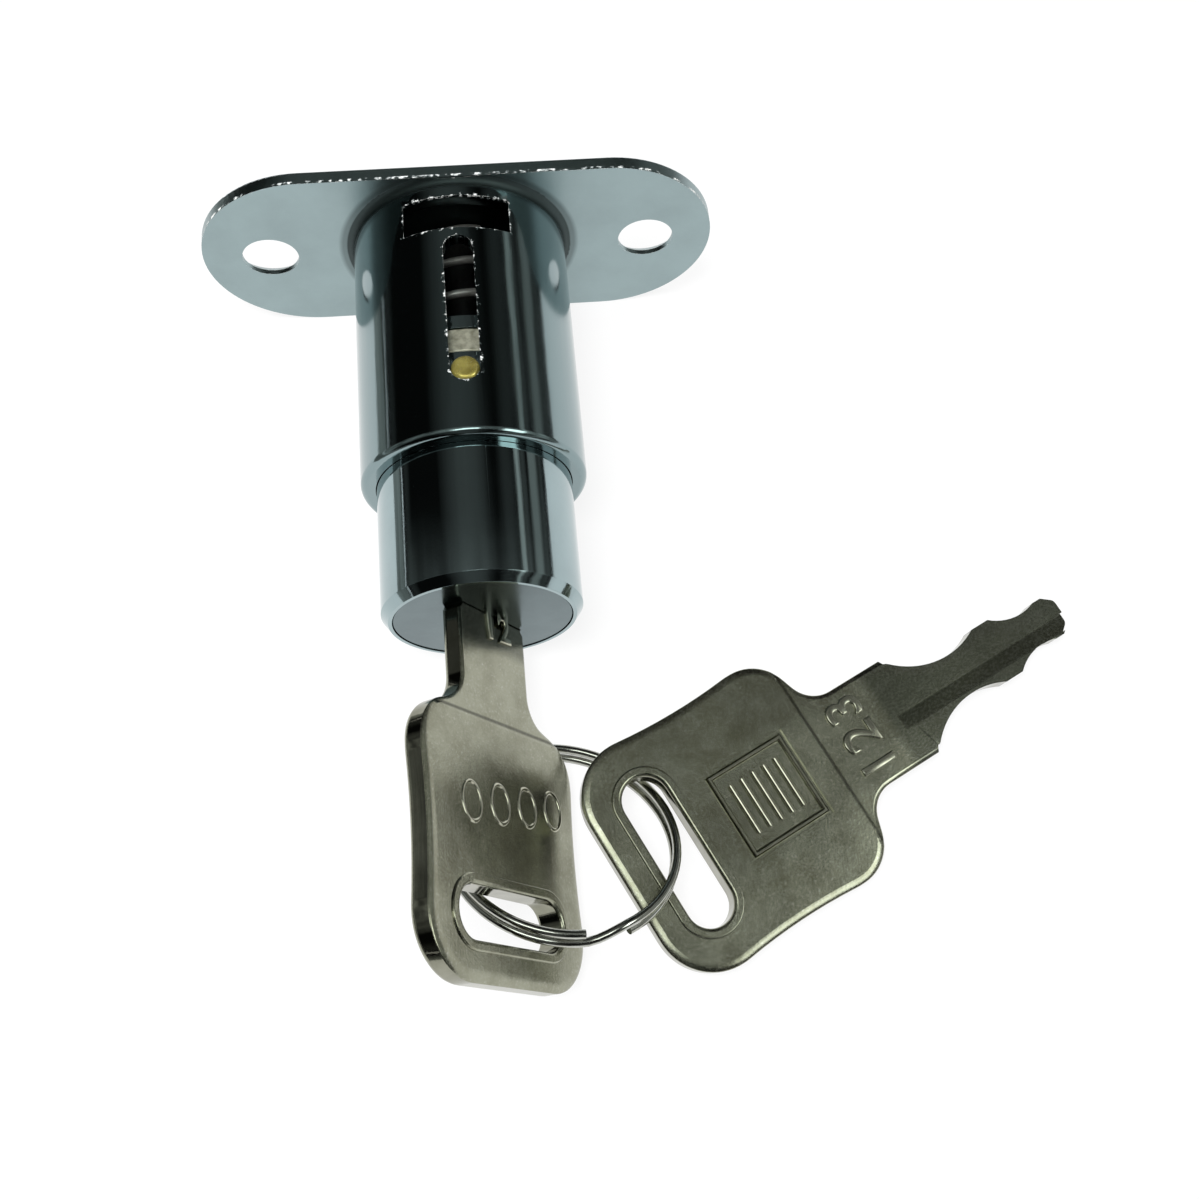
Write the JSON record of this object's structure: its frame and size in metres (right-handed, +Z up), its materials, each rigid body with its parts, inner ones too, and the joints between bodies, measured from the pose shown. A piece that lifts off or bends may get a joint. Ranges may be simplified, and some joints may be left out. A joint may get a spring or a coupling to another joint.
{
  "type": "push lock",
  "caption": "Push lock for a sliding door: cylinder with turning plug slides in a flanged barrel, with key, split ring and spare key.",
  "frame": {"origin": "middle of the line between the two screw holes, on the flange's front face and the barrel's axis", "axes": "+X along the flange, -Y along the barrel towards the key, +Z up from the table that it lies on"},
  "size_m": [0.0857, 0.0782, 0.0226],
  "materials": {
    "barrel_chrome": "mirror chrome on a zinc casting",
    "cylinder_chrome": "mirror chrome on a zinc casting",
    "plug_chrome": "chrome, satin face",
    "pin_steel": "turned steel",
    "pin_brass": "turned brass",
    "spring_steel": "drawn wire",
    "plate_metal": "yellowish plated steel",
    "wafer_brass": "stamped brass",
    "key_nickel": "nickel-plated brass",
    "ring_steel": "bright plated wire"
  },
  "bodies": {
    "barrel": {"housing": "barrel_chrome", "return_spring": "spring_steel"},
    "cylinder": {"push_cylinder": "cylinder_chrome", "bolt_pin": "pin_steel", "guide_pin": "pin_brass", "locking_plate_spring": "spring_steel"},
    "plate": {"locking_plate": "plate_metal"},
    "plug_core": {"plug": "plug_chrome", "plug_clip": "spring_steel", "drive_pin": "pin_steel", "wafer_spring_1": "spring_steel", "wafer_spring_2": "spring_steel", "wafer_spring_3": "spring_steel", "wafer_spring_4": "spring_steel", "wafer_spring_5": "spring_steel"},
    "wafer_1_body": {"wafer_1": "wafer_brass"},
    "wafer_2_body": {"wafer_2": "wafer_brass"},
    "wafer_3_body": {"wafer_3": "wafer_brass"},
    "wafer_4_body": {"wafer_4": "wafer_brass"},
    "wafer_5_body": {"wafer_5": "wafer_brass"},
    "inserted_key": {"key": "key_nickel"},
    "ring": {"key_ring": "ring_steel"},
    "hanging_key": {"spare_key": "key_nickel"}
  },
  "joints": [
    {"name": "push", "type": "slide", "parent": "barrel", "child": "cylinder", "axis": [0, 1, 0], "range_m": [0, 0.0132], "stiffness_N_per_m": 350, "springref_m": -0.005, "deforming": ["return_spring"]},
    {"name": "plug_turn", "type": "hinge", "parent": "cylinder", "child": "plug_core", "pos_m": [0, 0, 0], "axis": [0, -1, 0], "range_deg": [0, 90]},
    {"name": "plate_retract", "type": "slide", "parent": "cylinder", "child": "plate", "axis": [0, 0, -1], "range_m": [0, 0.00141], "stiffness_N_per_m": 300, "springref_m": -0.002, "deforming": ["locking_plate_spring"]},
    {"name": "key_pull", "type": "slide", "parent": "plug_core", "child": "inserted_key", "axis": [0, -1, 0], "range_m": [0, 0.026]},
    {"name": "wafer_1_slide", "type": "slide", "parent": "plug_core", "child": "wafer_1_body", "axis": [0.5446, 0, -0.8387], "range_m": [0, 0.00101]},
    {"name": "wafer_2_slide", "type": "slide", "parent": "plug_core", "child": "wafer_2_body", "axis": [-0.5446, 0, 0.8387], "range_m": [0, 0.00101]},
    {"name": "wafer_3_slide", "type": "slide", "parent": "plug_core", "child": "wafer_3_body", "axis": [0.5446, 0, -0.8387], "range_m": [0, 0.00101]},
    {"name": "wafer_4_slide", "type": "slide", "parent": "plug_core", "child": "wafer_4_body", "axis": [-0.5446, 0, 0.8387], "range_m": [0, 0.00101]},
    {"name": "wafer_5_slide", "type": "slide", "parent": "plug_core", "child": "wafer_5_body", "axis": [0.5446, 0, -0.8387], "range_m": [0, 0.00101]},
    {"name": "ring_swing", "type": "hinge", "parent": "inserted_key", "child": "ring", "pos_m": [0.0006, -0.07093, -0.00092], "axis": [-0.282, -0.8554, 0.4344], "range_deg": [0, 40]},
    {"name": "spare_key_swing", "type": "hinge", "parent": "ring", "child": "hanging_key", "pos_m": [0.00584, -0.06285, -0.00553], "axis": [0.1762, 0.3986, 0.9], "range_deg": [-30, 8]}
  ],
  "couplings": [
    {"joint": "plug_turn", "follows": "plate_retract", "rad_per_m": 1111.1},
    {"joint": "wafer_1_slide", "follows": "key_pull", "ratio": 0.038462},
    {"joint": "wafer_2_slide", "follows": "key_pull", "ratio": 0.038462},
    {"joint": "wafer_3_slide", "follows": "key_pull", "ratio": 0.038462},
    {"joint": "wafer_4_slide", "follows": "key_pull", "ratio": 0.038462},
    {"joint": "wafer_5_slide", "follows": "key_pull", "ratio": 0.038462}
  ]
}
